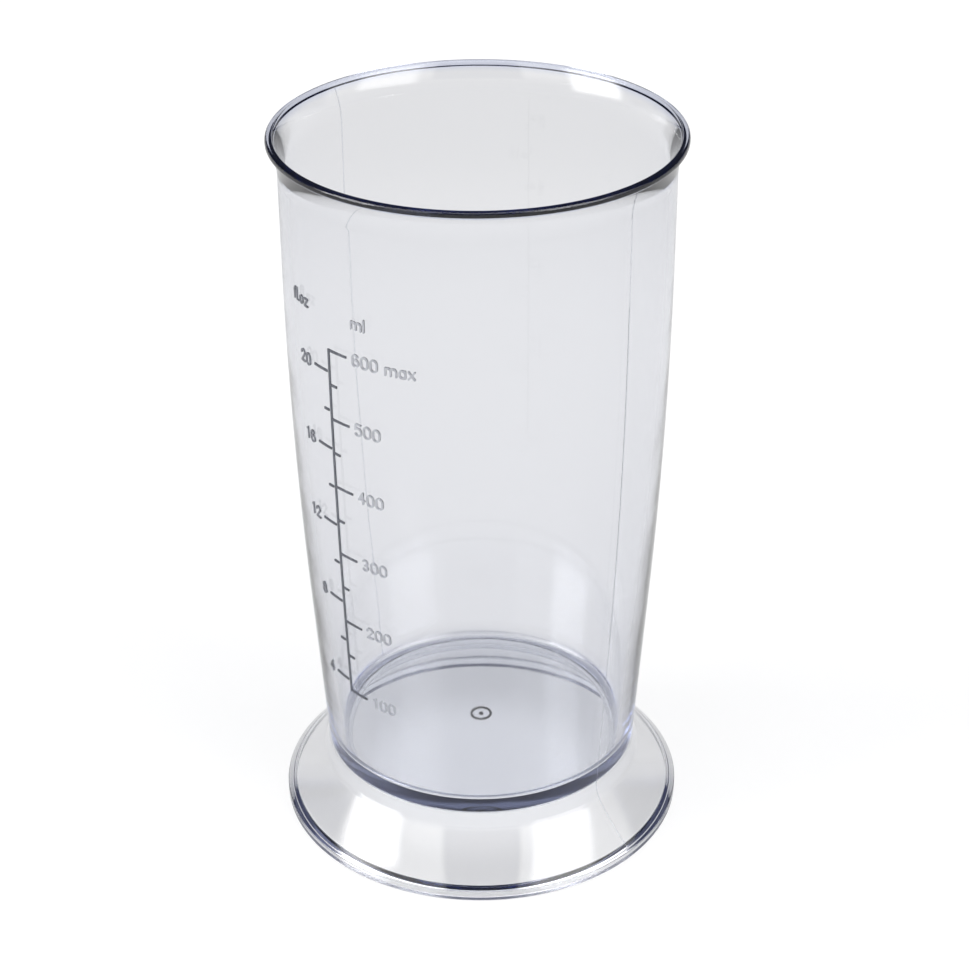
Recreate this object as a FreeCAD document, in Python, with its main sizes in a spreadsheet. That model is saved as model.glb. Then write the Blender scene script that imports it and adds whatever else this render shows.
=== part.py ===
import FreeCAD, Part
import math
import os
import Sketcher

# Clear plastic beaker of an immersion blender: a measuring cup on a hollow flared foot, moulded in one piece.
# Millimetres, +Z up. The origin is the middle of the foot's resting face, on the beaker's axis.
# The mould's two halves meet in the XZ plane, and the measuring scale is on the half that faces -Y.

SHEET_CELLS = [
    ("beaker_height", 179.2, "foot to lip"),
    ("lip_radius", 47.5, "outside of the lip"),
    ("lip_depth", 1.7, "thickness of the lip, measured upright"),
    ("lip_nose", 0.7, "rounding of the lip's outer edges"),
    ("lip_inner_round", 0.5, "rounding of the lip's inner edge"),
    ("flare_height", 170.5, "where the mouth starts to flare"),
    ("flare_bend", 18.0, "radius of the flare, outside"),
    ("flare_inner_bend", 14.5, "radius of the flare, inside, tighter so that the lip comes out thinner"),
    ("mouth_radius", 45.1, "outside of the wall below the flare"),
    ("mouth_wall", 2.1, "wall thickness below the flare"),
    ("belly_height", 150.0, "where the wall becomes upright"),
    ("taper_height", 60.0, "where the straight taper turns into the bulge"),
    ("wall_start_radius", 39.41, "outside of the wall where the floor's inside corner ends"),
    ("wall_start", 3.2, "wall thickness there"),
    ("neck_radius", 38.99, "outside of the neck, level with the floor's underside"),
    ("floor_height", 20.2, "top of the floor"),
    ("floor_depth", 2.7, "thickness of the floor"),
    ("floor_corner", 3.3, "rounded corner inside, between floor and wall"),
    ("skirt_wall", 2.1, "thickness of the foot's skirt"),
    ("skirt_bend", 8.0, "radius of the bend where the skirt flares, outside"),
    ("skirt_sweep", 55.0, "radius of the skirt's sweep from that bend to the foot, outside"),
    ("foot_radius", 50.3, "outside of the foot"),
    ("foot_band", 2.5, "height of the foot's upright band"),
    ("foot_width", 2.9, "width of the ring that rests on the table"),
    ("foot_round", 0.5, "rounding of the foot's outer edges"),
    ("scale_azimuth", -69.8, "direction, in degrees, that the scale's widths are laid out from"),
    ("scale_relief", 0.3, "how far the scale stands proud"),
    ("scale_zero", 23.4, "height from which the scale counts its volume"),
    ("rule_place", -18.97, "middle of the scale's upright line, along the wall"),
    ("rule_width", 0.55, "width of the upright line and of the ticks"),
    ("ml_tick", 5.3, "length of a tick at each 100 ml, from the line's edge"),
    ("ml_short_tick", 1.9, "length of a tick between them"),
    ("oz_tick", 4.8, "length of a tick at each 4 fl oz"),
    ("oz_short_tick", 1.7, "length of a tick between them"),
    ("oz_gap", 0.5, "gap between the line and the fl oz ticks"),
    ("ml_number_place", -11.8, "left edge of the ml numbers, along the wall"),
    ("oz_number_place", -26.2, "right edge of the fl oz numbers, along the wall"),
    ("heading_height", 147.3, "foot of the headings ml and fl.oz"),
    ("letter_height", 3.2, "height of the numbers"),
    ("letter_width", 2.1, "width of a number"),
    ("small_height", 2.2, "height of the small letters"),
    ("letter_gap", 0.35, "gap between two numbers"),
    ("stroke_width", 0.45, "width of a letter's stroke"),
    ("parting_width", 0.3, "width of the parting line's ridge"),
    ("parting_relief", 0.12, "height of the parting line's ridge"),
    ("gate_radius", 2.8, "outside of the gate mark's ring"),
    ("gate_stroke", 0.6, "width of the gate mark's ring"),
    ("gate_relief", 0.25, "height of the gate mark"),
]

doc = FreeCAD.newDocument("blender_beaker")
sheet = doc.addObject("Spreadsheet::Sheet", "sizes")
for row, (alias, value, meaning) in enumerate(SHEET_CELLS, start=1):
    sheet.set(f"A{row}", alias)
    sheet.set(f"B{row}", str(value))
    sheet.set(f"C{row}", meaning)
    sheet.setAlias(f"B{row}", alias)
doc.recompute()


def size(alias):
    """The value of a cell of the sheet, in millimetres or degrees."""
    return float(sheet.get(alias))


# --- sketches -------------------------------------------------------------------------------------

def bind(sketch, name, kind, references, expression):
    """Adds a named dimension to a sketch and binds it to an expression on the sheet."""
    value = float(sketch.evalExpression(expression))
    index = sketch.addConstraint(Sketcher.Constraint(kind, *references, value))
    sketch.renameConstraint(index, name)
    sketch.setExpression(f"Constraints.{name}", expression)


def place_corner(sketch, name, geometry, end, across, up):
    """Fixes a corner's distance from the axis and its height; None leaves that one to the tangencies."""
    if across == 0:
        sketch.addConstraint(Sketcher.Constraint("PointOnObject", geometry, end, -2))
    elif across is not None:
        bind(sketch, f"{name}_across", "DistanceX", (-1, 1, geometry, end), across)
    if up == 0:
        sketch.addConstraint(Sketcher.Constraint("PointOnObject", geometry, end, -1))
    elif up is not None:
        bind(sketch, f"{name}_up", "DistanceY", (-1, 1, geometry, end), up)


def revolved_body(label, corners, bends=None, start_guess=None):
    """A body of revolution about Z.

    corners are (name, distance from the axis, height) round the section, each size an expression on the
    sheet, 0 or None. bends gives, by the name of the corner that a curved side starts at, its centre's guess,
    its radius (an expression or None) and whether it is tangent to the side before and to the side after.
    start_guess gives the places of the corners whose sizes are None.
    """
    bends = bends or {}
    start_guess = start_guess or {}
    body = doc.addObject("PartDesign::Body", label)
    body.Label = label
    plane = next(item for item in body.Origin.OriginFeatures if item.Role == "XZ_Plane")
    sketch = body.newObject("Sketcher::SketchObject", f"{label}_section")
    sketch.AttachmentSupport = [(plane, "")]
    sketch.MapMode = "FlatFace"
    points = []
    for name, across, up in corners:
        guess = start_guess.get(name, (0.0, 0.0))
        x = guess[0] if across is None else float(sketch.evalExpression(str(across)))
        z = guess[1] if up is None else float(sketch.evalExpression(str(up)))
        points.append(FreeCAD.Vector(x, z, 0))
    ends = []
    for number, (name, _, _) in enumerate(corners):
        here = points[number]
        there = points[(number + 1) % len(points)]
        if name not in bends:
            sketch.addGeometry(Part.LineSegment(here, there))
            ends.append((1, 2))
            continue
        centre = FreeCAD.Vector(*bends[name]["centre"], 0)
        turn = (here - centre).cross(there - centre).z
        first, last = (here, there) if turn > 0 else (there, here)
        circle = Part.Circle(centre, FreeCAD.Vector(0, 0, 1), (here - centre).Length)
        angles = [math.atan2(p.y - centre.y, p.x - centre.x) for p in (first, last)]
        sketch.addGeometry(Part.ArcOfCircle(circle, *angles))
        ends.append((1, 2) if turn > 0 else (2, 1))
    count = len(corners)
    for number, (name, _, _) in enumerate(corners):
        before = (number - 1) % count
        smooth_in = bends.get(name, {}).get("smooth_start", False)
        smooth_out = bends.get(corners[before][0], {}).get("smooth_end", False)
        kind = "Tangent" if smooth_in or smooth_out else "Coincident"
        sketch.addConstraint(Sketcher.Constraint(kind, before, ends[before][1], number, ends[number][0]))
    for number, (name, across, up) in enumerate(corners):
        place_corner(sketch, name, number, ends[number][0], across, up)
        bend = bends.get(name, {})
        if bend.get("radius"):
            bind(sketch, f"{name}_bend", "Radius", (number,), bend["radius"])
        if bend.get("centre_up"):
            bind(sketch, f"{name}_centre", "DistanceY", (-1, 1, number, 3), bend["centre_up"])
    revolution = body.newObject("PartDesign::Revolution", f"{label}_revolution")
    revolution.Profile = sketch
    revolution.ReferenceAxis = (sketch, ["V_Axis"])
    revolution.Angle = 360.0
    body.Tip = revolution
    doc.recompute()
    return body


def edge_circles(feature, radius, height):
    """Names of the feature's circular edges about the axis with this radius and height."""
    names = []
    for number, edge in enumerate(feature.Shape.Edges, start=1):
        curve = edge.Curve
        if not isinstance(curve, Part.Circle):
            continue
        if abs(curve.Radius - radius) < 0.001 and abs(curve.Center.z - height) < 0.001:
            names.append(f"Edge{number}")
    return names


def round_edges(body, name, circles, radius):
    """Rounds the body's circular edges, given as (radius, height) pairs, with a radius from the sheet."""
    base = body.Tip
    edges = [edge for circle in circles for edge in edge_circles(base, *circle)]
    fillet = body.newObject("PartDesign::Fillet", name)
    fillet.Base = (base, edges)
    fillet.setExpression("Radius", radius)
    body.Tip = fillet
    doc.recompute()


# --- the cup's outlines ---------------------------------------------------------------------------

FLOOR_UNDERSIDE = "sizes.floor_height - sizes.floor_depth"
CORNER_TOP = "sizes.floor_height + sizes.floor_corner"
MOUTH_INSIDE = "sizes.mouth_radius - sizes.mouth_wall"
WALL_START_INSIDE = "sizes.wall_start_radius - sizes.wall_start"
NECK_INSIDE = "sizes.neck_radius - sizes.skirt_wall"
FOOT_INSIDE = "sizes.foot_radius - sizes.foot_width"
LIP_UNDERSIDE = "sizes.beaker_height - sizes.lip_depth"

floor_underside = size("floor_height") - size("floor_depth")
corner_top = size("floor_height") + size("floor_corner")
lip_underside = size("beaker_height") - size("lip_depth")


def wall_ends(inside):
    """Radius of the wall's outside or inside where it starts, and below the flare."""
    start = size("wall_start_radius") - (size("wall_start") if inside else 0)
    mouth = size("mouth_radius") - (size("mouth_wall") if inside else 0)
    return start, mouth


def wall_bulge(inside=False):
    """The taper's slope and the radius of the arc that turns it upright, each tangent to the next."""
    start, mouth = wall_ends(inside)
    straight = size("taper_height") - corner_top
    curved = size("belly_height") - size("taper_height")
    half = 0.0
    for _ in range(8):
        half = (mouth - start) / (2 * straight / (1 - half * half) + curved)
    angle = 2 * math.atan(half)
    return math.tan(angle), curved / math.sin(angle)


def wall_radius(height, inside=False):
    """Radius of the wall's outside or inside at a height between the floor and the flare."""
    start, mouth = wall_ends(inside)
    slope, bend = wall_bulge(inside)
    if height <= size("taper_height"):
        return start + slope * (height - corner_top)
    below = max(size("belly_height") - height, 0)
    return mouth - bend + math.sqrt(bend * bend - below * below)


def sweep_to(edge, offset=0.0):
    """Where the skirt's bend passes into its sweep to an edge point, and the sweep's centre and radius."""
    bend = size("skirt_bend") + offset
    sweep = size("skirt_sweep") + offset
    gap = sweep - bend
    reach = FreeCAD.Vector(edge[0] - skirt_centre[0], edge[1] - skirt_centre[1], 0)
    along = (reach.Length ** 2 + gap ** 2 - sweep ** 2) / (2 * gap)
    angle = math.atan2(reach.y, reach.x) + math.acos(along / reach.Length)
    across, up = math.cos(angle), math.sin(angle)
    join = (skirt_centre[0] - bend * across, skirt_centre[1] - bend * up)
    return join, (skirt_centre[0] + gap * across, skirt_centre[1] + gap * up), sweep


def bulge_guess(inside):
    """Where the taper ends, and the bulge's centre."""
    mouth = wall_ends(inside)[1]
    corner = (wall_radius(size("taper_height"), inside), size("taper_height"))
    return corner, (mouth - wall_bulge(inside)[1], size("belly_height"))


# --- rim, wall, floor and foot --------------------------------------------------------------------

def flare_centre(inside=False):
    """Centre of the flare's arc, outside or inside."""
    bend = size("flare_inner_bend") if inside else size("flare_bend")
    return wall_ends(inside)[1] + bend, size("flare_height")


def flare_radius(height, inside=False):
    """Radius of the flare's outside or inside at a height above its start."""
    centre = flare_centre(inside)
    bend = centre[0] - wall_ends(inside)[1]
    rise = height - centre[1]
    return centre[0] - math.sqrt(bend * bend - rise * rise)


def make_rim():
    nose = size("lip_nose")
    lip = size("lip_radius")
    top = size("beaker_height")
    body = revolved_body(
        "rim",
        [
            ("flare_outside", "sizes.mouth_radius", "sizes.flare_height"),
            ("lip_root", None, LIP_UNDERSIDE),
            ("nose_under", "sizes.lip_radius - sizes.lip_nose", LIP_UNDERSIDE),
            ("nose_low", "sizes.lip_radius", LIP_UNDERSIDE + " + sizes.lip_nose"),
            ("nose_high", "sizes.lip_radius", "sizes.beaker_height - sizes.lip_nose"),
            ("nose_top", "sizes.lip_radius - sizes.lip_nose", "sizes.beaker_height"),
            ("lip_inside", None, "sizes.beaker_height"),
            ("flare_inside", MOUTH_INSIDE, "sizes.flare_height"),
        ],
        {
            "flare_outside": {
                "centre": flare_centre(),
                "radius": "sizes.flare_bend",
                "centre_up": "sizes.flare_height",
            },
            "nose_under": {"centre": (lip - nose, lip_underside + nose), "radius": "sizes.lip_nose"},
            "nose_high": {"centre": (lip - nose, top - nose), "radius": "sizes.lip_nose"},
            "lip_inside": {
                "centre": flare_centre(inside=True),
                "radius": "sizes.flare_inner_bend",
                "centre_up": "sizes.flare_height",
            },
        },
        {"lip_root": (flare_radius(lip_underside), 0), "lip_inside": (flare_radius(top, inside=True), 0)},
    )
    round_edges(body, "lip_inner_rounding", [(flare_radius(top, inside=True), top)], "sizes.lip_inner_round")
    return body


def make_wall():
    outside, outside_centre = bulge_guess(inside=False)
    inside, inside_centre = bulge_guess(inside=True)
    return revolved_body(
        "wall",
        [
            ("start_outside", "sizes.wall_start_radius", CORNER_TOP),
            ("taper_outside", None, "sizes.taper_height"),
            ("belly_outside", "sizes.mouth_radius", "sizes.belly_height"),
            ("mouth_outside", "sizes.mouth_radius", "sizes.flare_height"),
            ("mouth_inside", MOUTH_INSIDE, "sizes.flare_height"),
            ("belly_inside", MOUTH_INSIDE, "sizes.belly_height"),
            ("taper_inside", None, "sizes.taper_height"),
            ("start_inside", WALL_START_INSIDE, CORNER_TOP),
        ],
        {
            "taper_outside": {"centre": outside_centre, "smooth_start": True, "smooth_end": True},
            "belly_inside": {"centre": inside_centre, "smooth_start": True, "smooth_end": True},
        },
        {"taper_outside": outside, "taper_inside": inside},
    )


def make_floor():
    corner_radius = wall_ends(inside=True)[0] - size("floor_corner")
    return revolved_body(
        "cup_floor",
        [
            ("axis_under", 0, FLOOR_UNDERSIDE),
            ("neck", "sizes.neck_radius", FLOOR_UNDERSIDE),
            ("wall_outside", "sizes.wall_start_radius", CORNER_TOP),
            ("wall_inside", WALL_START_INSIDE, CORNER_TOP),
            ("corner", WALL_START_INSIDE + " - sizes.floor_corner", "sizes.floor_height"),
            ("axis_top", 0, "sizes.floor_height"),
        ],
        {"wall_inside": {"centre": (corner_radius, corner_top), "radius": "sizes.floor_corner"}},
    )


skirt_centre = (size("neck_radius") + size("skirt_bend"), floor_underside)
skirt_edge = (size("foot_radius"), size("foot_band"))
skirt_join, sweep_centre, sweep_radius = sweep_to(skirt_edge)


def make_skirt():
    inner_edge = (size("foot_radius") - size("foot_width"), size("foot_band"))
    inner_join, inner_centre, _ = sweep_to(inner_edge, size("skirt_wall"))
    return revolved_body(
        "foot_skirt",
        [
            ("neck_outside", "sizes.neck_radius", FLOOR_UNDERSIDE),
            ("bend_outside", None, None),
            ("edge_outside", "sizes.foot_radius", "sizes.foot_band"),
            ("edge_inside", FOOT_INSIDE, "sizes.foot_band"),
            ("bend_inside", None, None),
            ("neck_inside", NECK_INSIDE, FLOOR_UNDERSIDE),
        ],
        {
            "neck_outside": {
                "centre": skirt_centre,
                "radius": "sizes.skirt_bend",
                "centre_up": FLOOR_UNDERSIDE,
                "smooth_end": True,
            },
            "bend_outside": {"centre": sweep_centre, "radius": "sizes.skirt_sweep"},
            "edge_inside": {
                "centre": inner_centre,
                "radius": "sizes.skirt_sweep + sizes.skirt_wall",
                "smooth_end": True,
            },
            "bend_inside": {
                "centre": skirt_centre,
                "radius": "sizes.skirt_bend + sizes.skirt_wall",
                "centre_up": FLOOR_UNDERSIDE,
            },
        },
        {"bend_outside": skirt_join, "bend_inside": inner_join},
    )


def make_foot_ring():
    body = revolved_body(
        "foot_ring",
        [
            ("inside_low", FOOT_INSIDE, 0),
            ("outside_low", "sizes.foot_radius", 0),
            ("outside_high", "sizes.foot_radius", "sizes.foot_band"),
            ("inside_high", FOOT_INSIDE, "sizes.foot_band"),
        ],
    )
    round_edges(body, "foot_rounding", [(size("foot_radius"), 0)], "sizes.foot_round")
    return body


# --- the measuring scale --------------------------------------------------------------------------

ML_PER_FL_OZ = 28.413
SCALE_STEPS = 400


def scale_height(volume_ml):
    """Height at which the cup holds this volume above the scale's zero."""
    step = (size("belly_height") - size("scale_zero")) / SCALE_STEPS
    height = size("scale_zero")
    missing = volume_ml * 1000
    while missing > 0:
        slice_volume = math.pi * wall_radius(height + step / 2, inside=True) ** 2 * step
        height += step * min(missing / slice_volume, 1)
        missing -= slice_volume
    return height


def azimuth_at(place, height):
    """Azimuth, in radians, of a place measured in millimetres along the wall from the scale's datum."""
    return math.radians(size("scale_azimuth")) + place / wall_radius(height)


def relief_skin():
    """The layer, as thick as the relief, that lies on the wall where the scale is."""
    low = corner_top
    taper = size("taper_height")
    belly = size("belly_height")
    proud = FreeCAD.Vector(size("scale_relief"), 0, 0)
    middle = (taper + belly) / 2
    corners = [FreeCAD.Vector(wall_radius(height), 0, height) for height in (low, taper, middle, belly)]
    inner = [Part.LineSegment(corners[0], corners[1]).toShape(), Part.Arc(*corners[1:]).toShape()]
    outer = [edge.translated(proud) for edge in inner]
    ends = [
        Part.LineSegment(corners[0], corners[0] + proud).toShape(),
        Part.LineSegment(corners[-1], corners[-1] + proud).toShape(),
    ]
    section = Part.Face(Part.Wire(Part.__sortEdges__(inner + outer + ends)))
    half_turn = 60
    section.rotate(FreeCAD.Vector(), FreeCAD.Vector(0, 0, 1), size("scale_azimuth") - half_turn)
    return section.revolve(FreeCAD.Vector(), FreeCAD.Vector(0, 0, 1), 2 * half_turn)


def cone_skin(height):
    """The same layer near one height, where the wall is as good as a cone."""
    reach = 2 * size("letter_height")
    low, high = height - reach, height + reach
    proud = size("scale_relief")
    base = FreeCAD.Vector(0, 0, low)
    outer = Part.makeCone(wall_radius(low) + proud, wall_radius(high) + proud, high - low, base)
    return outer.cut(Part.makeCone(wall_radius(low), wall_radius(high), high - low, base))


def raise_on_wall(faces, place, height, layer):
    """Raises flat faces, drawn about a place and height on the wall, out of the wall through a layer on it."""
    azimuth = azimuth_at(place, height)
    depth = 4.0  # more than the wall's radius changes along the tallest raised shape
    outward = FreeCAD.Vector(math.cos(azimuth), math.sin(azimuth), 0)
    along = FreeCAD.Vector(-math.sin(azimuth), math.cos(azimuth), 0)
    origin = outward * (wall_radius(height) - depth) + FreeCAD.Vector(0, 0, height)
    frame = FreeCAD.Matrix(
        along.x, 0, outward.x, origin.x,
        along.y, 0, outward.y, origin.y,
        along.z, 1, outward.z, origin.z,
        0, 0, 0, 1,
    )
    flat = faces[0] if len(faces) == 1 else faces[0].multiFuse(faces[1:]).removeSplitter()
    prism = flat.extrude(FreeCAD.Vector(0, 0, 2 * depth))
    prism.transformShape(frame)
    return prism.common(layer)


def box_face(left, right, low, high):
    corners = [FreeCAD.Vector(*point, 0) for point in ((left, low), (right, low), (right, high), (left, high))]
    return Part.Face(Part.makePolygon(corners + corners[:1]))


# --- letters: each stroke is a list of points; four numbers are an arc through the first two to the last two

def letter_strokes():
    """Strokes and width of every letter on the scale, along the middle of the strokes."""
    wide = size("letter_width") - size("stroke_width")
    tall = size("letter_height") - size("stroke_width")
    small = size("small_height") - size("stroke_width")
    bow = wide / 2
    upper = 0.47 * tall / 2
    lower = tall / 2 - upper
    middle = lower
    arch = 0.8 * bow
    letters = {
        "0": ([[(0, tall / 2), (0, tall - bow), (bow, tall, wide, tall - bow), (wide, tall / 2)],
               [(0, tall / 2), (0, bow), (bow, 0, wide, bow), (wide, tall / 2)]], wide),
        "1": ([[(0.3 * wide, 0.84 * tall), (0.65 * wide, tall), (0.65 * wide, 0)]], wide),
        "2": ([[(0, tall - bow), (bow, tall, wide, tall - bow), (0, 0), (wide, 0)]], wide),
        "3": ([[(0.12 * wide, tall - 0.4 * upper), (middle + upper, tall - upper, middle, 2 * lower),
                (middle + lower, lower, 0.08 * wide, 0.5 * lower)]], wide),
        "4": ([[(0.72 * wide, 0), (0.72 * wide, tall)],
               [(0.72 * wide, tall), (0, 0.3 * tall), (wide, 0.3 * tall)]], wide),
        "5": ([[(0.92 * wide, tall), (0.1 * wide, tall), (0.04 * wide, 0.56 * tall)],
               [(0.04 * wide, 0.56 * tall), (wide, 0.31 * tall, 0, 0.13 * tall)]], wide),
        "6": ([[(0.9 * wide, tall - 0.43 * bow), (bow, tall, 0, tall - bow), (0, bow)],
               [(0, bow), (bow, 2 * bow, wide, bow)],
               [(0, bow), (bow, 0, wide, bow)]], wide),
        "8": ([[(bow - upper, tall - upper), (bow, tall, bow + upper, tall - upper)],
               [(bow - upper, tall - upper), (bow, 2 * lower, bow + upper, tall - upper)],
               [(bow - lower, lower), (bow, 2 * lower, bow + lower, lower)],
               [(bow - lower, lower), (bow, 0, bow + lower, lower)]], wide),
        "m": ([[(0, 0), (0, small)],
               [(0, small - arch), (arch, small, 2 * arch, small - arch), (2 * arch, 0)],
               [(2 * arch, small - arch), (3 * arch, small, 4 * arch, small - arch), (4 * arch, 0)]], 4 * arch),
        "a": ([[(0, small / 2), (arch, small, 2 * arch, small / 2)],
               [(0, small / 2), (arch, 0, 2 * arch, small / 2)],
               [(2 * arch, small), (2 * arch, 0)]], 2 * arch),
        "x": ([[(0, 0), (0.8 * small, small)], [(0, small), (0.8 * small, 0)]], 0.8 * small),
        "l": ([[(0, tall), (0, 0)]], 0.0),
        "f": ([[(0.9 * bow, tall), (0.45 * bow, 0.93 * tall, 0.3 * bow, 0.78 * tall), (0.3 * bow, 0)],
               [(0, small), (0.9 * bow, small)]], 0.9 * bow),
        ".": ([[(0, 0), (0, 0.1)]], 0.0),
        "o": ([[(0, small / 2), (arch, small, 2 * arch, small / 2)],
               [(0, small / 2), (arch, 0, 2 * arch, small / 2)]], 2 * arch),
        "z": ([[(0, small), (0.75 * small, small), (0, 0), (0.75 * small, 0)]], 0.75 * small),
        " ": ([], 0.3 * wide),
    }
    return letters


def stroke_faces(points):
    """Flat faces, one for each run of a stroke, with round ends that overlap where two runs meet."""
    faces = []
    here = FreeCAD.Vector(*points[0], 0)
    for point in points[1:]:
        there = FreeCAD.Vector(*point[-2:], 0)
        via = FreeCAD.Vector(*point[:2], 0) if len(point) == 4 else None
        faces.append(run_face(here, there, via))
        here = there
    return faces


def run_face(start, end, via=None):
    """One run of a stroke: straight, or an arc through the via point."""
    half = size("stroke_width") / 2
    if via is None:
        start_way = end_way = (end - start).normalize()
        start_side, end_side = (FreeCAD.Vector(way.y, -way.x, 0) * half for way in (start_way, end_way))
        right = Part.LineSegment(start + start_side, end + end_side)
        left = Part.LineSegment(end - end_side, start - start_side)
    else:
        centre = Part.Arc(start, via, end).toShape().Curve.Center
        turn = math.copysign(1, (start - centre).cross(via - centre).z)
        start_side, end_side, via_side = (
            (point - centre).normalize() * half * turn for point in (start, end, via)
        )
        start_way, end_way = (FreeCAD.Vector(-side.y, side.x, 0).normalize() for side in (start_side, end_side))
        right = Part.Arc(start + start_side, via + via_side, end + end_side)
        left = Part.Arc(end - end_side, via - via_side, start - start_side)
    end_cap = Part.Arc(end + end_side, end + end_way * half, end - end_side)
    start_cap = Part.Arc(start - start_side, start - start_way * half, start + start_side)
    outline = [curve.toShape() for curve in (right, end_cap, left, start_cap)]
    return Part.Face(Part.Wire(outline))


def raise_text(text, left, foot):
    """Raises a text whose left edge and foot are at these places on the wall."""
    letters = letter_strokes()
    stroke = size("stroke_width")
    layer = cone_skin(foot)
    solids = []
    place = left
    for letter in text:
        strokes, width = letters[letter]
        if strokes:
            faces = [face for points in strokes for face in stroke_faces(points)]
            for face in faces:
                face.translate(FreeCAD.Vector(-width / 2, stroke / 2, 0))
            shape = raise_on_wall(faces, place + (width + stroke) / 2, foot, layer)
            solids.extend(shape.Solids)
        place += width + stroke + size("letter_gap")
    return solids


def text_width(text):
    letters = letter_strokes()
    widths = [letters[letter][1] + size("stroke_width") for letter in text]
    return sum(widths) + size("letter_gap") * (len(text) - 1)


def raise_tick(near, far, top):
    """Raises a tick between two places, with its upper edge at a height."""
    middle = (near + far) / 2
    half = abs(far - near) / 2
    return raise_on_wall([box_face(-half, half, -size("rule_width"), 0)], middle, top, cone_skin(top)).Solids


def make_feature(label, solids):
    feature = doc.addObject("Part::Feature", label)
    feature.Label = label
    feature.Shape = solids[0] if len(solids) == 1 else Part.makeCompound(solids)
    feature.Placement = FreeCAD.Placement()
    return feature


ml_marks = range(100, 601, 50)
oz_marks = range(4, 21, 2)
rule_left = size("rule_place") - size("rule_width") / 2
rule_right = size("rule_place") + size("rule_width") / 2
oz_end = rule_left - size("oz_gap")
number_drop = (size("letter_height") + size("rule_width")) / 2


def make_scale_line():
    """The line keeps its distance along the wall from the scale's datum, so it leans a little on the taper."""
    top = scale_height(max(ml_marks))
    low = scale_height(min(ml_marks)) - size("rule_width")
    middle = (top + low) / 2
    centre_azimuth = azimuth_at(size("rule_place"), middle)
    sides = []
    for place in (rule_left, rule_right):
        points = []
        for part in range(5):
            height = low + (top - low) * part / 4
            across = wall_radius(height) * math.sin(azimuth_at(place, height) - centre_azimuth)
            points.append(FreeCAD.Vector(across, height - middle, 0))
        side = Part.BSplineCurve()
        side.interpolate(points)
        sides.append((side.toShape(), points))
    ends = [
        Part.LineSegment(sides[0][1][end], sides[1][1][end]).toShape()
        for end in (0, -1)
    ]
    face = Part.Face(Part.Wire(Part.__sortEdges__([sides[0][0], sides[1][0]] + ends)))
    return make_feature("scale_line", raise_on_wall([face], size("rule_place"), middle, relief_skin()).Solids)


def make_ml_ticks():
    solids = []
    for volume in ml_marks:
        length = size("ml_tick") if volume % 100 == 0 else size("ml_short_tick")
        solids += raise_tick(rule_right, rule_right + length, scale_height(volume))
    return make_feature("ml_ticks", solids)


def make_ml_numbers():
    solids = []
    for volume in ml_marks:
        if volume % 100 == 0:
            text = f"{volume} max" if volume == max(ml_marks) else str(volume)
            solids += raise_text(text, size("ml_number_place"), scale_height(volume) - number_drop)
    return make_feature("ml_numbers", solids)


def make_ml_heading():
    return make_feature("ml_heading", raise_text("ml", size("ml_number_place"), size("heading_height")))


def make_oz_ticks():
    solids = []
    for ounces in oz_marks:
        length = size("oz_tick") if ounces % 4 == 0 else size("oz_short_tick")
        solids += raise_tick(oz_end - length, oz_end, scale_height(ounces * ML_PER_FL_OZ))
    return make_feature("fl_oz_ticks", solids)


def make_oz_numbers():
    solids = []
    for ounces in oz_marks:
        if ounces % 4 == 0:
            text = str(ounces)
            foot = scale_height(ounces * ML_PER_FL_OZ) - number_drop
            solids += raise_text(text, size("oz_number_place") - text_width(text), foot)
    return make_feature("fl_oz_numbers", solids)


def make_oz_heading():
    left = size("oz_number_place") - text_width("fl.oz")
    return make_feature("fl_oz_heading", raise_text("fl.oz", left, size("heading_height")))


# --- marks that the mould leaves ------------------------------------------------------------------

def outside_edges(start_height):
    """Edges of the outline's outside in the XZ plane, from a height on the skirt's sweep up to the lip."""
    sweep = [(sweep_centre[0] - math.sqrt(sweep_radius ** 2 - (height - sweep_centre[1]) ** 2), height)
             for height in (start_height, (start_height + skirt_join[1]) / 2)]
    turn = math.radians(180) + math.atan2(skirt_centre[1] - skirt_join[1], skirt_centre[0] - skirt_join[0])
    half_turn = (math.radians(180) + turn) / 2
    bend_middle = (skirt_centre[0] + size("skirt_bend") * math.cos(half_turn),
                   skirt_centre[1] + size("skirt_bend") * math.sin(half_turn))
    neck = (size("neck_radius"), floor_underside)
    wall = [(wall_radius(height), height) for height in (corner_top, size("taper_height"))]
    belly = [(wall_radius(height), height)
             for height in ((size("taper_height") + size("belly_height")) / 2, size("belly_height"))]
    mouth = (size("mouth_radius"), size("flare_height"))
    flare = [(flare_radius(height), height)
             for height in ((size("flare_height") + lip_underside) / 2, lip_underside)]
    point = {name: FreeCAD.Vector(place[0], 0, place[1]) for name, place in {
        "start": sweep[0], "sweep_middle": sweep[1], "join": skirt_join, "bend_middle": bend_middle, "neck": neck,
        "wall_low": wall[0], "wall_high": wall[1], "belly_middle": belly[0], "belly_high": belly[1],
        "mouth": mouth, "flare_middle": flare[0], "flare_high": flare[1]}.items()}
    line = lambda first, last: Part.LineSegment(point[first], point[last]).toShape()
    arc = lambda first, via, last: Part.Arc(point[first], point[via], point[last]).toShape()
    return [
        arc("start", "sweep_middle", "join"),
        arc("join", "bend_middle", "neck"),
        line("neck", "wall_low"),
        line("wall_low", "wall_high"),
        arc("wall_high", "belly_middle", "belly_high"),
        line("belly_high", "mouth"),
        arc("mouth", "flare_middle", "flare_high"),
    ]


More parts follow.
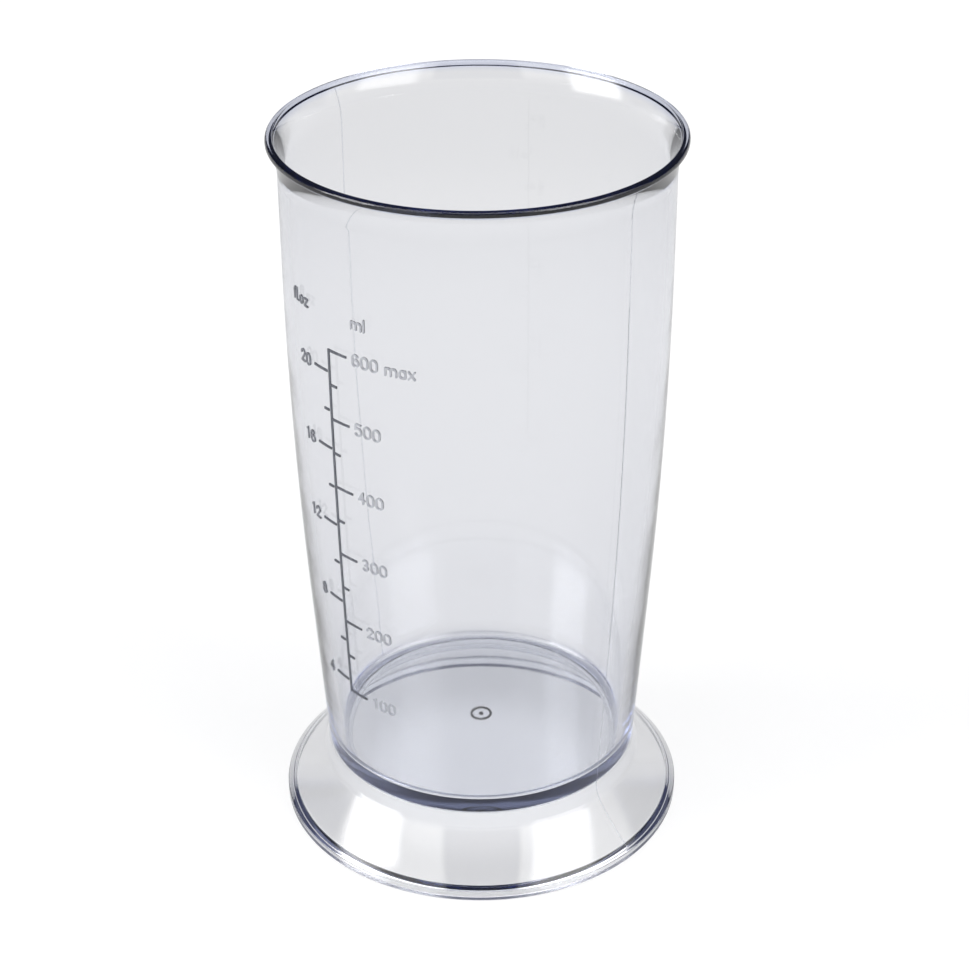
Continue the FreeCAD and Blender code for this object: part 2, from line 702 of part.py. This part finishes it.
def make_parting_lines():
    proud = FreeCAD.Vector(size("parting_relief"), 0, 0)
    inner = outside_edges(skirt_edge[1] + 2 * size("parting_relief"))
    outer = [edge.translated(proud) for edge in inner]
    low = inner[0].Vertexes[0].Point
    high = inner[-1].Vertexes[-1].Point
    ends = [Part.LineSegment(end, end + proud).toShape() for end in (low, high)]
    section = Part.Face(Part.Wire(Part.__sortEdges__(inner + outer + ends)))
    turn = math.degrees(size("parting_width") / size("mouth_radius"))
    axis = FreeCAD.Vector(0, 0, 1)
    solids = []
    for azimuth in (0, 180):
        side = section.copy()
        side.rotate(FreeCAD.Vector(), axis, azimuth - turn / 2)
        solids.append(side.revolve(FreeCAD.Vector(), axis, turn))
    return make_feature("parting_lines", solids)


def make_gate_mark():
    floor = FreeCAD.Vector(0, 0, size("floor_height"))
    ring = Part.makeCylinder(size("gate_radius"), size("gate_relief"), floor)
    hole = Part.makeCylinder(size("gate_radius") - size("gate_stroke"), size("gate_relief"), floor)
    dot = Part.makeCylinder(size("gate_stroke"), size("gate_relief"), floor)
    return make_feature("gate_mark", [ring.cut(hole), dot])


rim = make_rim()
wall = make_wall()
cup_floor = make_floor()
foot_skirt = make_skirt()
foot_ring = make_foot_ring()
parts = [
    rim,
    wall,
    cup_floor,
    foot_skirt,
    foot_ring,
    make_scale_line(),
    make_ml_ticks(),
    make_ml_numbers(),
    make_ml_heading(),
    make_oz_ticks(),
    make_oz_numbers(),
    make_oz_heading(),
    make_parting_lines(),
    make_gate_mark(),
]
doc.recompute()

for item in doc.Objects:
    if "Invalid" in item.State or "Error" in item.State:
        raise RuntimeError(f"{item.Label} failed: {item.State}")
for part in parts:
    if part.Shape.isNull() or not part.Shape.isValid():
        raise RuntimeError(f"{part.Label} has no valid shape")
    print(f"{part.Label}: {len(part.Shape.Solids)} solids, {part.Shape.Volume / 1000:.3f} cm3")

os.makedirs("parts", exist_ok=True)
for part in parts:
    part.Shape.exportStep(f"parts/{part.Label}.step")
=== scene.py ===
import math

import bpy
from mathutils import Matrix, Vector


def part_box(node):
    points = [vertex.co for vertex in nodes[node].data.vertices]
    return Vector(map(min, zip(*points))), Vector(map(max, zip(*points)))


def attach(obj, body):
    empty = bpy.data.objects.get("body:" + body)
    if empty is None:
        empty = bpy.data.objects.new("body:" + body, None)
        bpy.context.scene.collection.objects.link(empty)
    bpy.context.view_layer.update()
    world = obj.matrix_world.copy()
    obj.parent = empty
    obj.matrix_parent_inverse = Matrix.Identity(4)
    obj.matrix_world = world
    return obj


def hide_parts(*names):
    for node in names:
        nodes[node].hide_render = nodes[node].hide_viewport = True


# The clear beaker of an immersion blender, in metres and in the frame's own coordinates: +Z up, with the
# foot on Z = 0.

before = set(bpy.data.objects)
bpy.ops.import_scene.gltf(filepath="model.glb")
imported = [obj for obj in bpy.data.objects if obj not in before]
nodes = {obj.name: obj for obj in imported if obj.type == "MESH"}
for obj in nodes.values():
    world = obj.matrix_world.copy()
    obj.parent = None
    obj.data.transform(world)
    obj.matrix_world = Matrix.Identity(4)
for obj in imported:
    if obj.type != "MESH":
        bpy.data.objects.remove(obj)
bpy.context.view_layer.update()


# --- sizes read from the frame ---------------------------------------------------------------------

FAR_OUT = 1.0  # well outside the beaker
NUDGE = 1e-5  # keeps a measuring ray off a node's end face


def cad_radius(node, height, inside):
    """Radius of a round CAD node's inside or outside at a height."""
    start = Vector((0 if inside else FAR_OUT, 0, height))
    way = Vector((1 if inside else -1, 0, 0))
    hit, place, _, _ = nodes[node].ray_cast(start, way)
    if not hit:
        raise RuntimeError(f"{node} has no surface at {height} m")
    return place.x


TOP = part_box("rim")[1].z
LIP_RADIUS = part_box("rim")[1].x
LIP_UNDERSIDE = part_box("parting_lines")[1].z
FLARE_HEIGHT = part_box("wall")[1].z
MOUTH_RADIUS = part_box("wall")[1].x
MOUTH_INSIDE = cad_radius("wall", FLARE_HEIGHT - NUDGE, inside=True)
WALL_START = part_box("wall")[0].z
WALL_START_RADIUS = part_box("cup_floor")[1].x
WALL_START_INSIDE = cad_radius("wall", WALL_START + NUDGE, inside=True)
FLOOR_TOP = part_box("gate_mark")[0].z
FLOOR_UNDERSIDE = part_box("cup_floor")[0].z
NECK_RADIUS = cad_radius("foot_skirt", FLOOR_UNDERSIDE - NUDGE, inside=False)
NECK_INSIDE = cad_radius("foot_skirt", FLOOR_UNDERSIDE - NUDGE, inside=True)
FOOT_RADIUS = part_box("foot_ring")[1].x
FOOT_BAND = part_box("foot_ring")[1].z
FOOT_INSIDE = cad_radius("foot_ring", FOOT_BAND / 2, inside=True)

# Roundings and curve ends that the frame's boxes don't give.
TAPER_TOP = 0.060  # where the wall's straight taper turns into its bulge
BELLY_TOP = 0.150  # where the bulge ends and the wall is upright
FLARE_BEND = 0.018
FLARE_INNER_BEND = 0.0145
FLARE_STRAIGHT = 0.0004  # between the flare's arc and the lip's roundings
LIP_NOSE = 0.0007
LIP_INNER_ROUND = 0.0005
LIP_ROOT_ROUND = 0.0002
SKIRT_BEND = 0.008
SKIRT_SWEEP = 0.055
SKIRT_STRAIGHT = 0.0003  # at the sweep's ends, for the roundings next to them
FOOT_ROUND = 0.0005
UNDER_FLOOR_ROUND = 0.0007

# How finely curves are divided.
TURN_STEPS = 288
ARC_STEP = math.radians(7)
ARC_REACH = 0.003
LEAST_ARC_STEPS = 3
BULGE_ROUNDS = 8


# --- the beaker's outline ----------------------------------------------------------------------------

def bulge(start_radius, mouth_radius):
    """The corner that the wall's taper and its upright top would meet in, and the arc between them."""
    straight = TAPER_TOP - WALL_START
    curved = BELLY_TOP - TAPER_TOP
    half = 0.0  # tangent of half the taper's angle, which settles within a few rounds
    for _ in range(BULGE_ROUNDS):
        half = (mouth_radius - start_radius) / (2 * straight / (1 - half * half) + curved)
    angle = 2 * math.atan(half)
    arc_radius = curved / math.sin(angle)
    return mouth_radius, BELLY_TOP - arc_radius * math.tan(angle / 2), arc_radius


def flare(mouth_radius, arc_radius, lip_height):
    """The corner under the flare's arc, and how far out the straight bit above the arc meets the lip."""
    angle = math.asin((lip_height - FLARE_STRAIGHT - FLARE_HEIGHT) / arc_radius)
    corner = (mouth_radius, FLARE_HEIGHT + arc_radius * math.tan(angle / 2), arc_radius)
    return corner, mouth_radius + arc_radius * (1 - math.cos(angle)) + FLARE_STRAIGHT * math.tan(angle)


def skirt_corners(edge, neck, offset):
    """The corners, with roundings, of the skirt's bend and of its sweep from there to the foot's edge."""
    bend = SKIRT_BEND + offset
    sweep = SKIRT_SWEEP + offset
    gap = sweep - bend
    centre = Vector((neck + bend, FLOOR_UNDERSIDE))
    reach = edge - centre
    along = (reach.length_squared + gap ** 2 - sweep ** 2) / (2 * gap)
    bend_turn = math.atan2(reach.y, reach.x) + math.acos(along / reach.length)
    join = centre - bend * Vector((math.cos(bend_turn), math.sin(bend_turn)))
    way = Vector((math.sin(bend_turn), -math.cos(bend_turn)))
    sweep_turn = 2 * math.asin((edge - join).length / (2 * sweep))
    bend_corner = join - bend * math.tan(bend_turn / 2) * way
    sweep_corner = join + sweep * math.tan(sweep_turn / 2) * way
    shorter = sweep - SKIRT_STRAIGHT / math.tan(sweep_turn / 2)
    return (*bend_corner, bend), (*sweep_corner, shorter)


def extend(above, below, height):
    """Where the line through two points reaches a height."""
    share = (height - above[1]) / (below[1] - above[1])
    return above[0] + share * (below[0] - above[0])


def side_normal(start, end):
    """The way out of the solid from a side of the outline, which keeps the solid on its left."""
    way = (end - start).normalized()
    return Vector((way.y, -way.x))


def arc(before, corner, after, radius):
    """Points and outward normals along the arc that rounds the corner between two straight sides."""
    back = (before - corner).normalized()
    ahead = (after - corner).normalized()
    half = back.angle(ahead) / 2
    outward = side_normal(before, corner)
    way = 1 if outward.dot(ahead) < 0 else -1  # a left turn bulges outward, a right turn inward
    turn = math.pi - 2 * half
    centre = corner + back * radius / math.tan(half) - way * radius * outward
    steps = max(LEAST_ARC_STEPS, math.ceil(turn / ARC_STEP), math.ceil(turn * radius / ARC_REACH))
    points = []
    for step in range(steps + 1):
        normal = Matrix.Rotation(way * turn * step / steps, 2) @ outward
        points.append((centre + way * radius * normal, normal))
    return points


def rounded_outline(corners):
    """Points and outward normals of an outline from axis to axis, through (radius, height, rounding)."""
    places = [Vector(corner[:2]) for corner in corners]
    points = [(places[0], Vector((0, -1)))]
    for before, place, after, corner in zip(places, places[1:], places[2:], corners[1:]):
        points += arc(before, place, after, corner[2])
    return points + [(places[-1], Vector((0, 1)))]


def beaker_outline():
    """The closed section from the floor's underside, round the foot, up the outside and down the inside."""
    skirt_wall = NECK_RADIUS - NECK_INSIDE
    bend_outside, sweep_outside = skirt_corners(Vector((FOOT_RADIUS, FOOT_BAND)), NECK_RADIUS, 0)
    bend_inside, sweep_inside = skirt_corners(Vector((FOOT_INSIDE, FOOT_BAND)), NECK_INSIDE, skirt_wall)
    bulge_outside = bulge(WALL_START_RADIUS, MOUTH_RADIUS)
    bulge_inside = bulge(WALL_START_INSIDE, MOUTH_INSIDE)
    flare_outside, lip_root = flare(MOUTH_RADIUS, FLARE_BEND, LIP_UNDERSIDE)
    flare_inside, lip_inside = flare(MOUTH_INSIDE, FLARE_INNER_BEND, TOP)
    floor_edge = extend(bulge_inside, (WALL_START_INSIDE, WALL_START), FLOOR_TOP)
    neck = extend(bulge_outside, (WALL_START_RADIUS, WALL_START), bend_outside[1])
    return rounded_outline([
        (0, FLOOR_UNDERSIDE, 0),
        (NECK_INSIDE, FLOOR_UNDERSIDE, UNDER_FLOOR_ROUND),
        (bend_inside[0], bend_inside[1], SKIRT_BEND),
        sweep_inside,
        (FOOT_INSIDE, FOOT_BAND, FOOT_ROUND),
        (FOOT_INSIDE, 0, FOOT_ROUND / 2),
        (FOOT_RADIUS, 0, FOOT_ROUND),
        (FOOT_RADIUS, FOOT_BAND, FOOT_ROUND),
        sweep_outside,
        (neck, bend_outside[1], SKIRT_BEND - SKIRT_STRAIGHT),
        bulge_outside,
        flare_outside,
        (lip_root, LIP_UNDERSIDE, LIP_ROOT_ROUND),
        (LIP_RADIUS, LIP_UNDERSIDE, LIP_NOSE),
        (LIP_RADIUS, TOP, LIP_NOSE),
        (lip_inside, TOP, LIP_INNER_ROUND),
        flare_inside,
        bulge_inside,
        (floor_edge, FLOOR_TOP, WALL_START - FLOOR_TOP),
        (0, FLOOR_TOP, 0),
    ])


# --- meshes --------------------------------------------------------------------------------------------

def lathe(name, outline):
    """A smooth closed body of revolution from an outline that starts and ends on the axis."""
    turns = [Matrix.Rotation(math.tau * step / TURN_STEPS, 3, "Z") for step in range(TURN_STEPS)]
    points = []
    normals = []
    for place, normal in outline[1:-1]:
        points += [turn @ Vector((place.x, 0, place.y)) for turn in turns]
        normals += [turn @ Vector((normal.x, 0, normal.y)) for turn in turns]
    bottom = len(points)
    top = bottom + 1
    for place, normal in (outline[0], outline[-1]):
        points.append((0, 0, place.y))
        normals.append((0, 0, normal.y))
    last = bottom - TURN_STEPS
    faces = []
    for step in range(TURN_STEPS):
        after = (step + 1) % TURN_STEPS
        faces.append((bottom, after, step))
        faces.append((top, last + step, last + after))
        for low in range(0, last, TURN_STEPS):
            high = low + TURN_STEPS
            faces.append((low + step, low + after, high + after, high + step))
    mesh = bpy.data.meshes.new(name)
    mesh.from_pydata(points, [], faces)
    mesh.shade_smooth()
    mesh.normals_split_custom_set_from_vertices(normals)
    piece = bpy.data.objects.new(name, mesh)
    bpy.context.scene.collection.objects.link(piece)
    return piece


# --- materials -------------------------------------------------------------------------------------------

CLEAR = (1.0, 1.0, 1.0)
# Painted bluish shade on the shell's floor, for light that runs sideways a long way through its plate.
FLOOR_PAINTED_SHADE = (0.95, 0.965, 1.0)
# Painted dark blue shade on the lip, for light that takes long ways through the plastic inside it.
LIP_PAINTED_SHADE = (0.80, 0.83, 0.94)
# Painted shade on the marks: darker tints of the same plastic, for the dark edges that the clear raised
# marks show where they bend in light from darker surroundings, so that they can be read on the clear wall.
MARK_PAINTED_SHADES = {
    "scale_line": (0.15, 0.16, 0.19),
    "ml_ticks": (0.16, 0.17, 0.20),
    "fl_oz_ticks": (0.16, 0.17, 0.20),
    "fl_oz_numbers": (0.25, 0.26, 0.29),
    "fl_oz_heading": (0.25, 0.26, 0.29),
    "ml_numbers": (0.66, 0.67, 0.70),
    "ml_heading": (0.62, 0.63, 0.66),
    "parting_lines": (0.88, 0.89, 0.92),
    "gate_mark": (0.90, 0.91, 0.94),
}
SHELL_ROUGHNESS = 0.02
MARK_ROUGHNESS = 0.12
PLASTIC_IOR = 1.57
ABSORBED = (0.0, 0.08, 0.36, 1)  # what is left of red, green and blue after a long way through the plastic
ABSORPTION = 25.0  # to the metre

# Duller patches, by noise.
PATCH_SCALE = 90.0  # to the metre
PATCH_DETAIL = 4.0
PATCH_START = 0.35
PATCH_FULL = 0.75
PATCH_ROUGHNESS = 0.03

# Slight waves in the surface, by noise.
WAVE_SCALE = 45.0  # to the metre
WAVE_DETAIL = 2.0
WAVE_HEIGHT = 0.0001
WAVE_STRENGTH = 0.4


def math_node(tree, operation, *values):
    """A Math node on numbers or sockets."""
    node = tree.nodes.new("ShaderNodeMath")
    node.operation = operation
    for socket, value in zip(node.inputs, values):
        if isinstance(value, (int, float)):
            socket.default_value = value
        else:
            tree.links.new(value, socket)
    return node.outputs[0]


def ramp(tree, value, start, end, low=0.0, high=1.0):
    """A soft step of a socket's value, from low at start to high at end."""
    node = tree.nodes.new("ShaderNodeMapRange")
    node.interpolation_type = "SMOOTHSTEP"
    tree.links.new(value, node.inputs["Value"])
    node.inputs["From Min"].default_value = start
    node.inputs["From Max"].default_value = end
    node.inputs["To Min"].default_value = low
    node.inputs["To Max"].default_value = high
    return node.outputs["Result"]


def tinted(tree, colour, tint, share):
    """A colour, as a value or a socket, turned towards a tint by a socket's share."""
    node = tree.nodes.new("ShaderNodeMix")
    node.data_type = "RGBA"
    tree.links.new(share, node.inputs["Factor"])
    plain, full = (socket for socket in node.inputs if socket.type == "RGBA")
    if isinstance(colour, tuple):
        plain.default_value = (*colour, 1)
    else:
        tree.links.new(colour, plain)
    full.default_value = (*tint, 1)
    return next(socket for socket in node.outputs if socket.type == "RGBA")


def noise(tree, place, scale, detail):
    """Values about 0.5 of a noise with this many swells to the metre."""
    node = tree.nodes.new("ShaderNodeTexNoise")
    node.inputs["Scale"].default_value = scale
    node.inputs["Detail"].default_value = detail
    tree.links.new(place, node.inputs["Vector"])
    return node.outputs["Fac"]


def clear_plastic(name, colour, roughness, by_place=False):
    """Polished SAN: clear, faintly blue, with a slight waviness and a few duller patches.

    by_place paints shade on the shell: a bluish shade on its floor and a darker blue one on its lip, for
    light that runs a long way through the plastic there.
    """
    material = bpy.data.materials.new(name)
    material.use_nodes = True
    tree = material.node_tree
    tree.nodes.clear()
    output = tree.nodes.new("ShaderNodeOutputMaterial")
    surface = tree.nodes.new("ShaderNodeBsdfPrincipled")
    surface.inputs["IOR"].default_value = PLASTIC_IOR
    surface.inputs["Transmission Weight"].default_value = 1.0
    surface.inputs["Base Color"].default_value = (*colour, 1)
    place = tree.nodes.new("ShaderNodeTexCoord").outputs["Object"]
    if by_place:
        parts = tree.nodes.new("ShaderNodeSeparateXYZ")
        tree.links.new(place, parts.inputs[0])
        squares = [math_node(tree, "MULTIPLY", parts.outputs[axis], parts.outputs[axis]) for axis in "XY"]
        reach = math_node(tree, "SQRT", math_node(tree, "ADD", *squares))
        height = parts.outputs["Z"]
        # Painted shade: the cup's floor is turned bluer and darker by place.
        low = ramp(tree, height, WALL_START, FLOOR_TOP)
        inside = ramp(tree, reach, WALL_START_RADIUS, WALL_START_INSIDE)
        floor_shade_share = math_node(tree, "MULTIPLY", low, inside)
        # Painted dark blue shade on the lip.
        lip_shade_share = ramp(tree, height, LIP_UNDERSIDE - LIP_NOSE, LIP_UNDERSIDE + LIP_NOSE)
        shade = tinted(tree, colour, FLOOR_PAINTED_SHADE, floor_shade_share)
        tree.links.new(tinted(tree, shade, LIP_PAINTED_SHADE, lip_shade_share), surface.inputs["Base Color"])
    patches = noise(tree, place, PATCH_SCALE, PATCH_DETAIL)
    dull = ramp(tree, patches, PATCH_START, PATCH_FULL, roughness, roughness + PATCH_ROUGHNESS)
    tree.links.new(dull, surface.inputs["Roughness"])
    bump = tree.nodes.new("ShaderNodeBump")
    bump.inputs["Strength"].default_value = WAVE_STRENGTH
    bump.inputs["Distance"].default_value = WAVE_HEIGHT
    tree.links.new(noise(tree, place, WAVE_SCALE, WAVE_DETAIL), bump.inputs["Height"])
    tree.links.new(bump.outputs["Normal"], surface.inputs["Normal"])
    depth = tree.nodes.new("ShaderNodeVolumeAbsorption")
    depth.inputs["Color"].default_value = ABSORBED
    depth.inputs["Density"].default_value = ABSORPTION
    tree.links.new(surface.outputs[0], output.inputs["Surface"])
    tree.links.new(depth.outputs[0], output.inputs["Volume"])
    return material


# --- stage, light and camera ---------------------------------------------------------------------------

# The table, which glows so that it is as white as the room round it. To the camera it glows evenly. In what
# the beaker shows of it, the glow is stronger under the beaker and weaker far away.
TABLE_HALF = 3.0
TABLE_DROP = 0.0002  # below the foot, so that the two don't share a plane
TABLE_SHADE = 0.20  # how much of the room's light it throws back, which leaves the beaker its weak shadow
TABLE_ROUGHNESS = 0.7
TABLE_IN_PICTURE = 0.79  # how bright it glows to the camera
TABLE_IN_BEAKER = 0.60  # how bright it glows in what the beaker shows of it
UNDER_BEAKER = 1.30  # how many times as bright that is under the beaker's middle
UNDER_REACH = (0.4 * FOOT_RADIUS, 0.8 * FOOT_RADIUS)  # where it fades to 1, from the axis
FAR_LOSS = 0.14  # how much of that brightness is lost far away
FAR_REACH = (0.28, 0.47)  # where the loss starts and is full, from the axis


def make_floor():
    """The table that the beaker stands on."""
    mesh = bpy.data.meshes.new("floor")
    half = TABLE_HALF
    corners = [(-half, -half, 0), (half, -half, 0), (half, half, 0), (-half, half, 0)]
    mesh.from_pydata(corners, [], [(0, 1, 2, 3)])
    floor = bpy.data.objects.new("floor", mesh)
    bpy.context.scene.collection.objects.link(floor)
    floor.location.z = -TABLE_DROP
    material = bpy.data.materials.new("pale_floor")
    material.use_nodes = True
    tree = material.node_tree
    surface = tree.nodes["Principled BSDF"]
    surface.inputs["Base Color"].default_value = (TABLE_SHADE, TABLE_SHADE, TABLE_SHADE, 1)
    surface.inputs["Roughness"].default_value = TABLE_ROUGHNESS
    surface.inputs["Specular IOR Level"].default_value = 0.0
    surface.inputs["Emission Color"].default_value = (1, 1, 1, 1)
    place = tree.nodes.new("ShaderNodeTexCoord").outputs["Object"]
    distance = tree.nodes.new("ShaderNodeVectorMath")
    distance.operation = "LENGTH"
    tree.links.new(place, distance.inputs[0])
    reach = distance.outputs["Value"]
    near = ramp(tree, reach, *UNDER_REACH, UNDER_BEAKER, 1.0)
    far = ramp(tree, reach, *FAR_REACH, 0.0, -FAR_LOSS)
    share = math_node(tree, "ADD", near, far)
    seen = math_node(tree, "MULTIPLY", share, TABLE_IN_BEAKER)
    missing = math_node(tree, "SUBTRACT", TABLE_IN_PICTURE, seen)
    paths = tree.nodes.new("ShaderNodeLightPath")
    glow = math_node(tree, "MULTIPLY_ADD", paths.outputs["Is Camera Ray"], missing, seen)
    tree.links.new(glow, surface.inputs["Emission Strength"])
    mesh.materials.append(material)


VIEW_AZIMUTH = math.radians(43.0)
VIEW_PITCH = math.radians(29.81)
VIEW_ROLL = math.radians(-0.28)
VIEW_PLACE = (0.00129, -0.4836, 0.3647)  # before the turn by the azimuth
LENS = 84.99  # in millimetres, as the sensor's width is
SENSOR = 36.0
NEAREST = 0.01

# The room's light by direction: bearing from the camera towards the picture's right, height above the
# horizon, all in degrees, and how bright that panel is. Later panels cover earlier ones.
ROOM_LEVEL = 0.8
DARK_TINT = (0.48, 0.55, 1.0)
PANELS = [
    # left, right, low, high, soft edge, level
    (-181, 181, 34, 91, 22, 1.9),
    (-181, -105, 12, 70, 8, 0.12),
    (105, 181, 12, 70, 8, 0.12),
    (-25, 25, 24, 60, 6, 0.3),
    (42, 72, 22, 58, 9, 5.0),
    (-88, -64, 14, 42, 9, 7.6),
    (-122, -100, 18, 48, 6, 0.3),
]


def make_world():
    """The room: panels of light round the beaker, bluer the darker they are, and white to the camera."""
    world = bpy.data.worlds.new("studio")
    bpy.context.scene.world = world
    world.use_nodes = True
    tree = world.node_tree

    place = tree.nodes.new("ShaderNodeTexCoord")
    turned = tree.nodes.new("ShaderNodeVectorRotate")
    turned.rotation_type = "Z_AXIS"
    turned.inputs["Angle"].default_value = -VIEW_AZIMUTH
    tree.links.new(place.outputs["Generated"], turned.inputs["Vector"])
    parts = tree.nodes.new("ShaderNodeSeparateXYZ")
    tree.links.new(turned.outputs[0], parts.inputs[0])
    toward = math_node(tree, "MULTIPLY", parts.outputs["Y"], -1.0)
    bearing = math_node(tree, "DEGREES", math_node(tree, "ARCTAN2", parts.outputs["X"], toward))
    height = math_node(tree, "DEGREES", math_node(tree, "ARCSINE", parts.outputs["Z"]))
    level = None
    for left, right, low, high, edge, bright in PANELS:
        from_left = ramp(tree, bearing, left - edge, left)
        from_right = ramp(tree, bearing, right + edge, right)
        from_below = ramp(tree, height, low - edge, low)
        from_above = ramp(tree, height, high + edge, high)
        across = math_node(tree, "MULTIPLY", from_left, from_right)
        up = math_node(tree, "MULTIPLY", from_below, from_above)
        share = math_node(tree, "MULTIPLY", across, up)
        under = ROOM_LEVEL if level is None else level
        step = math_node(tree, "SUBTRACT", bright, under)
        level = math_node(tree, "ADD", under, math_node(tree, "MULTIPLY", share, step))
    paths = tree.nodes.new("ShaderNodeLightPath")
    level = math_node(tree, "ADD", level, paths.outputs["Is Camera Ray"])
    background = tree.nodes["Background"]
    hue = tinted(tree, DARK_TINT, CLEAR, ramp(tree, level, 0.0, 1.0))
    tree.links.new(hue, background.inputs["Color"])
    tree.links.new(level, background.inputs["Strength"])


def make_camera():
    """The camera at the picture's viewing angle."""
    camera = bpy.data.cameras.new("camera")
    camera.lens = LENS
    camera.sensor_width = SENSOR
    camera.clip_start = NEAREST
    eye = bpy.data.objects.new("camera", camera)
    bpy.context.scene.collection.objects.link(eye)
    turn = Matrix.Rotation(VIEW_AZIMUTH, 4, "Z")
    tilt = Matrix.Rotation(math.pi / 2 - VIEW_PITCH, 4, "X") @ Matrix.Rotation(VIEW_ROLL, 4, "Z")
    eye.matrix_world = turn @ Matrix.Translation(VIEW_PLACE) @ tilt
    bpy.context.scene.camera = eye


# --- assembly --------------------------------------------------------------------------------------------

MOST_BOUNCES = 32
GLOSSY_BOUNCES = 16

plastic = clear_plastic("clear_plastic", CLEAR, SHELL_ROUGHNESS, by_place=True)
shell = lathe("beaker_shell", beaker_outline())
shell.data.materials.append(plastic)
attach(shell, "root")
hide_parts("rim", "wall", "cup_floor", "foot_skirt", "foot_ring")

# Painted shade: each clear mark gets a darker colour of its own.
for name, tint in MARK_PAINTED_SHADES.items():
    nodes[name].data.materials.clear()
    nodes[name].data.materials.append(clear_plastic(f"{name}_plastic", tint, MARK_ROUGHNESS))

make_floor()
make_world()
make_camera()

scene = bpy.context.scene
scene.view_settings.view_transform = "Standard"
scene.cycles.max_bounces = MOST_BOUNCES
scene.cycles.transmission_bounces = MOST_BOUNCES
scene.cycles.glossy_bounces = GLOSSY_BOUNCES
scene.cycles.use_denoising = True
